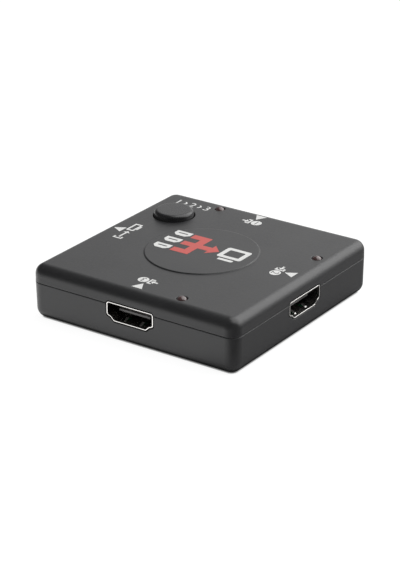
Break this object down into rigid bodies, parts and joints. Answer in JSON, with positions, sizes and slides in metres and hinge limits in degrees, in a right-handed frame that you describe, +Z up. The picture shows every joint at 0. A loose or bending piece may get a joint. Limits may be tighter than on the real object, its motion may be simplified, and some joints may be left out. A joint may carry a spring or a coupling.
{
  "type": "video switch box",
  "caption": "Square black video switch box with rounded edges, a socket in each side, a raised disc, a round select button and small lamps on top.",
  "frame": {"origin": "centre of the underside, in the plane that the box stands on", "axes": "+Z up through the roof, -Y out of the front socket (input 3), +X out of the right socket (input 2)"},
  "size_m": [0.064, 0.064, 0.0167],
  "materials": {
    "case_plastic": "fine spark-eroded grain, black",
    "button_plastic": "fine matte, black",
    "socket_sheet": "bright plated sheet",
    "insulator": "satin black moulding",
    "contact_gold": "gold-plated",
    "plated_steel": "zinc-plated",
    "tinned_leads": "tinned",
    "board": "green solder mask",
    "lamp_lens": "tinted clear resin",
    "chip_resin": "moulded resin",
    "ceramic": "fired ceramic"
  },
  "bodies": {
    "case": {"top_cover": "case_plastic", "bottom_cover": "case_plastic", "case_screws": "plated_steel", "circuit_board": "board", "socket_shell_in_3": "socket_sheet", "socket_insulator_in_3": "insulator", "socket_contacts_in_3": "contact_gold", "socket_shell_in_2": "socket_sheet", "socket_insulator_in_2": "insulator", "socket_contacts_in_2": "contact_gold", "socket_shell_in_1": "socket_sheet", "socket_insulator_in_1": "insulator", "socket_contacts_in_1": "contact_gold", "socket_shell_out": "socket_sheet", "socket_insulator_out": "insulator", "socket_contacts_out": "contact_gold", "tact_base": "insulator", "tact_cover": "socket_sheet", "tact_dome": "socket_sheet", "tact_terminals": "tinned_leads", "lamp_3": "lamp_lens", "lamp_2": "lamp_lens", "lamp_1": "lamp_lens", "lamp_leads": "tinned_leads", "selector_chip": "chip_resin", "selector_chip_pins": "tinned_leads", "logic_chip": "chip_resin", "logic_chip_pins": "tinned_leads", "voltage_regulator": "chip_resin", "regulator_leads": "tinned_leads", "chip_capacitors": "ceramic", "chip_resistors": "chip_resin", "chip_terminals": "tinned_leads"},
    "button": {"select_button": "button_plastic"},
    "plunger": {"tact_plunger": "insulator"}
  },
  "joints": [
    {"name": "select_press", "type": "slide", "parent": "case", "child": "button", "axis": [0, 0, -1], "range_m": [0, 0.0004], "stiffness_N_per_m": 400, "springref_m": -0.003},
    {"name": "plunger_press", "type": "slide", "parent": "case", "child": "plunger", "axis": [0, 0, -1], "range_m": [0, 0.0004], "deforming": ["tact_dome"]}
  ],
  "couplings": [
    {"joint": "plunger_press", "follows": "select_press", "ratio": 1}
  ]
}
